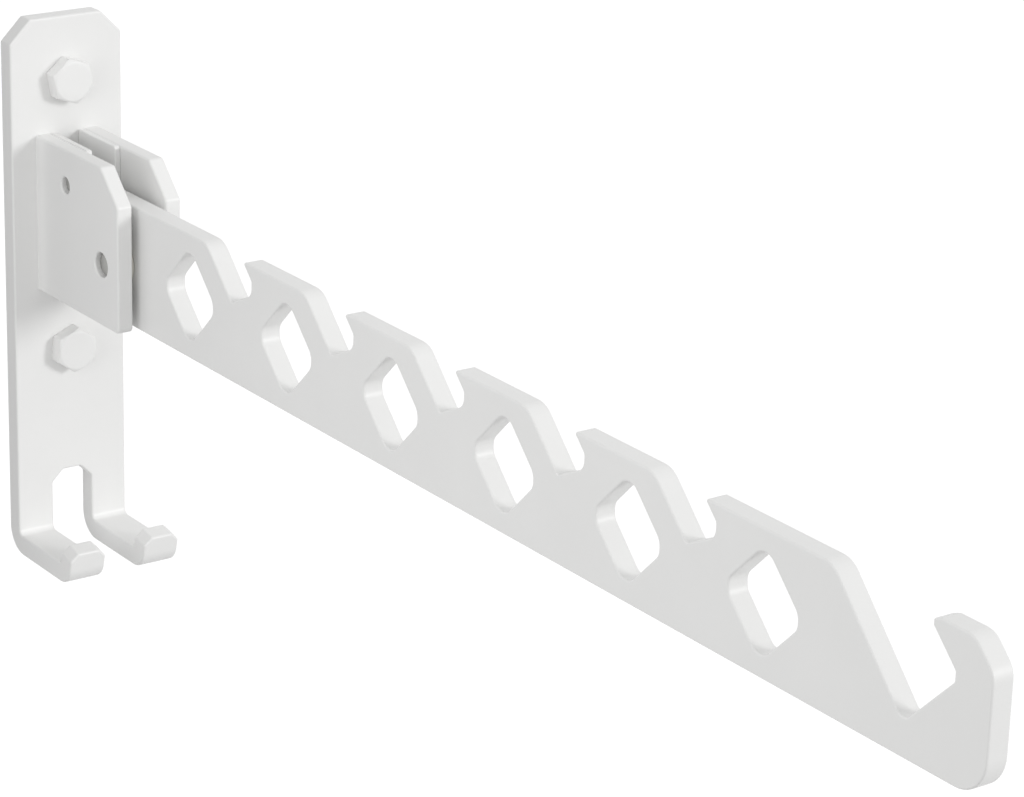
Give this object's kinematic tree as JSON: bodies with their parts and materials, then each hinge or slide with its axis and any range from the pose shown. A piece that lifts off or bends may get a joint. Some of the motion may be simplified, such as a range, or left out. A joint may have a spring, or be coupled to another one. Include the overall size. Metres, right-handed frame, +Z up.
{
  "type": "folding wall hook",
  "caption": "White folding wall hook: a flat notched garment arm with an open hook at its tip, hinged to swing up on a wall plate that ends in coat hooks.",
  "frame": {"origin": "on the wall plane (the plate's back face), midway between the two wall screws", "axes": "+X out from the wall along the arm in use, +Y to the right of someone facing the wall, +Z up"},
  "size_m": [0.36, 0.03, 0.1355],
  "materials": {
    "powder_coat": "gloss white powder coat",
    "screw_coat": "gloss white powder coat",
    "pin_steel": "plain turned steel",
    "bush_bronze": "sintered bronze",
    "washer_acetal": "natural acetal"
  },
  "bodies": {
    "bracket": {"wall_plate": "powder_coat", "left_cheek": "powder_coat", "right_cheek": "powder_coat", "tenon_welds": "powder_coat", "left_guide_plate": "powder_coat", "right_guide_plate": "powder_coat", "pivot_pin": "pin_steel", "stop_pin": "pin_steel", "left_pivot_washer": "washer_acetal", "right_pivot_washer": "washer_acetal", "upper_wall_screw": "screw_coat", "lower_wall_screw": "screw_coat"},
    "arm": {"arm": "powder_coat", "arm_bush": "bush_bronze"}
  },
  "joints": [
    {"name": "arm_fold", "type": "hinge", "parent": "bracket", "child": "arm", "pos_m": [0.0363, 0, -0.003], "axis": [0, -1, 0], "range_deg": [0, 90]}
  ]
}
